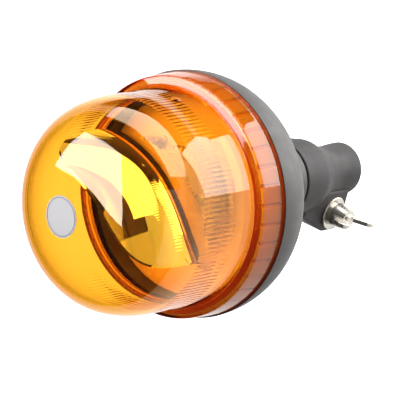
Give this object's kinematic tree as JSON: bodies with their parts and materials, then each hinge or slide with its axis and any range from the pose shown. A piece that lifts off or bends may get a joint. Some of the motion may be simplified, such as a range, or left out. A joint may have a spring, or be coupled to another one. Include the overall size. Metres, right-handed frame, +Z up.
{
  "type": "rotating beacon",
  "caption": "Amber domed warning beacon with a motor-driven rotating mirror round its lamp, on a flexible rubber stem whose split socket clamps on a pole with a wing nut.",
  "frame": {"origin": "centre of the pole socket's mouth, at the stem's lower end", "axes": "+Z up along the turning axis from the socket to the dome; the clamp ears point along -X and the wing nut faces -Y"},
  "size_m": [0.1436, 0.1436, 0.2495],
  "materials": {
    "stem_rubber": "matt moulded rubber",
    "housing_plastic": "satin moulded dark grey",
    "zinc_steel": "zinc plated",
    "nickel_steel": "nickel plated, lightly dulled",
    "phenolic": "dark moulded insulator",
    "contact_brass": "turned and strip brass",
    "spring_steel": "drawn wire",
    "tower_nylon": "natural glass-filled nylon",
    "lamp_ceramic": "white ceramic",
    "lamp_metal": "plain sheet",
    "lamp_glass": "clear quartz",
    "tungsten": "drawn tungsten",
    "motor_steel": "drawn can, ground shaft",
    "suppressor_film": "dipped film and wound choke",
    "sintered_bronze": "oil-filled sintered bronze",
    "gear_acetal": "natural acetal",
    "reflector_metal": "polished dish",
    "gasket_rubber": "soft foam rubber",
    "amber_lens": "clear moulded amber",
    "disc_paper": "matt white film"
  },
  "bodies": {
    "base": {"stem": "stem_rubber", "base_housing": "housing_plastic", "stem_core": "zinc_steel", "core_screws": "zinc_steel", "contact_carrier": "phenolic", "terminal_plate": "contact_brass", "earth_strip": "contact_brass", "contact_spring": "spring_steel", "chassis_plate": "zinc_steel", "chassis_screws": "zinc_steel", "lamp_tower": "tower_nylon", "retaining_ring": "zinc_steel", "lamp_holder": "lamp_ceramic", "lamp_clip": "zinc_steel", "bulb_base": "lamp_metal", "bulb_glass": "lamp_glass", "bulb_filament": "tungsten", "motor_can": "motor_steel", "motor_cap": "phenolic", "motor_screws": "zinc_steel", "suppressor": "suppressor_film", "lens_gasket": "gasket_rubber", "clamp_bolt": "nickel_steel", "head_washer": "nickel_steel"},
    "lens": {"lens_dome": "amber_lens", "rating_disc": "disc_paper"},
    "turntable": {"rotor_bush": "sintered_bronze", "drive_gear": "gear_acetal", "mirror_pedestal": "gear_acetal", "pedestal_screws": "zinc_steel", "reflector": "reflector_metal"},
    "motor_rotor": {"motor_shaft": "motor_steel", "drive_pinion": "gear_acetal"},
    "plunger": {"centre_contact": "contact_brass"},
    "washers": {"clamp_washer": "nickel_steel", "spring_washer": "nickel_steel"},
    "wing_nut": {"wing_nut": "nickel_steel"}
  },
  "joints": [
    {"name": "lens_twist", "type": "hinge", "parent": "base", "child": "lens", "pos_m": [0, 0, 0.1555], "axis": [0, 0, 1], "range_deg": [0, 24]},
    {"name": "turntable_spin", "type": "hinge", "parent": "base", "child": "turntable", "pos_m": [0, 0, 0.1572], "axis": [0, 0, 1], "continuous": true},
    {"name": "motor_spin", "type": "hinge", "parent": "base", "child": "motor_rotor", "pos_m": [0.0175, 0.03031, 0.1592], "axis": [0, 0, 1], "continuous": true},
    {"name": "contact_plunge", "type": "slide", "parent": "base", "child": "plunger", "axis": [0, 0, 1], "range_m": [0, 0.003], "stiffness_N_per_m": 1200, "springref_m": -0.002, "deforming": ["contact_spring"]},
    {"name": "washer_slide", "type": "slide", "parent": "base", "child": "washers", "axis": [0, -1, 0], "range_m": [0, 0.0025]},
    {"name": "nut_turn", "type": "hinge", "parent": "washers", "child": "wing_nut", "pos_m": [-0.0227, -0.0186, 0.0205], "axis": [0, -1, 0], "range_deg": [0, 720]}
  ],
  "couplings": [
    {"joint": "motor_spin", "follows": "turntable_spin", "ratio": -4},
    {"joint": "nut_turn", "follows": "washer_slide", "rad_per_m": 5026.5}
  ]
}
